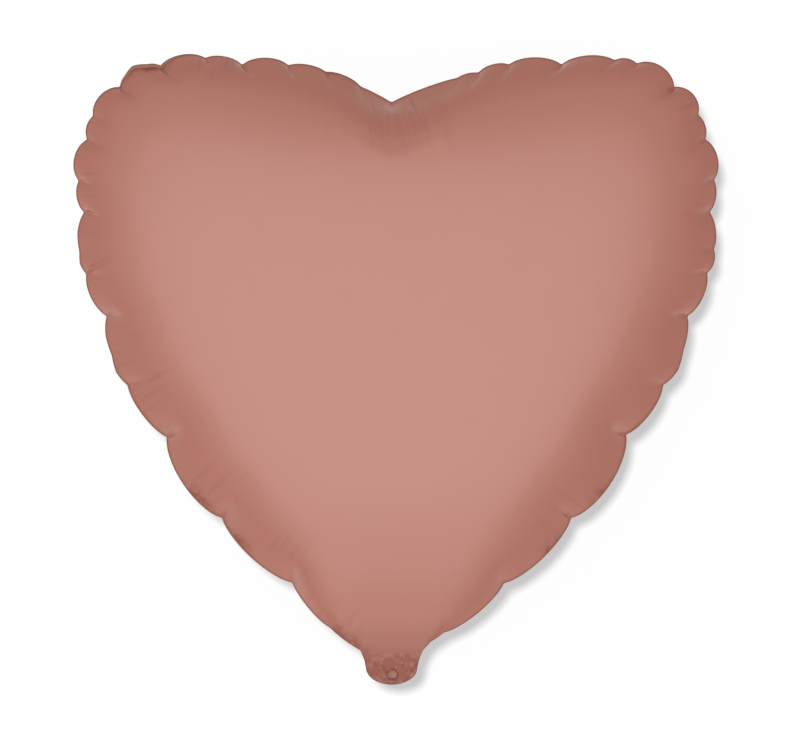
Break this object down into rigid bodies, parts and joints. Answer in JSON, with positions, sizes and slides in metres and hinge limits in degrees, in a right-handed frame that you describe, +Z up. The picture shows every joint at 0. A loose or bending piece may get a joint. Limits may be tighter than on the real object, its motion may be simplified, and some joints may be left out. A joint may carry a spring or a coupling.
{
  "type": "heart-shaped foil balloon",
  "caption": "Inflated heart-shaped foil balloon: two domed film panels with a puckered welded rim, an inner flat valve and a folding fill tail.",
  "frame": {"origin": "middle of the neck, where the tail leaves the heart and a ribbon is tied; the tail folds about X through it", "axes": "+Z up along the heart with the tail pointing down, front panel towards -Y, +X to the right seen from the front"},
  "size_m": [0.4006, 0.151, 0.3918],
  "materials": {
    "satin_foil": "satin metallised film, rose gold",
    "tail_foil": "crumpled satin metallised film, rose gold",
    "clear_film": "clear polyethylene film"
  },
  "bodies": {
    "envelope": {"front_panel": "satin_foil", "rear_panel": "satin_foil", "valve_front_film": "clear_film", "valve_rear_film": "clear_film"},
    "tail": {"tail_front_film": "tail_foil", "tail_rear_film": "tail_foil", "valve_front_inlet": "clear_film", "valve_rear_inlet": "clear_film"}
  },
  "joints": [
    {"name": "tail_fold", "type": "hinge", "parent": "envelope", "child": "tail", "pos_m": [0, 0, 0], "axis": [1, 0, 0], "range_deg": [-130, 130]}
  ]
}
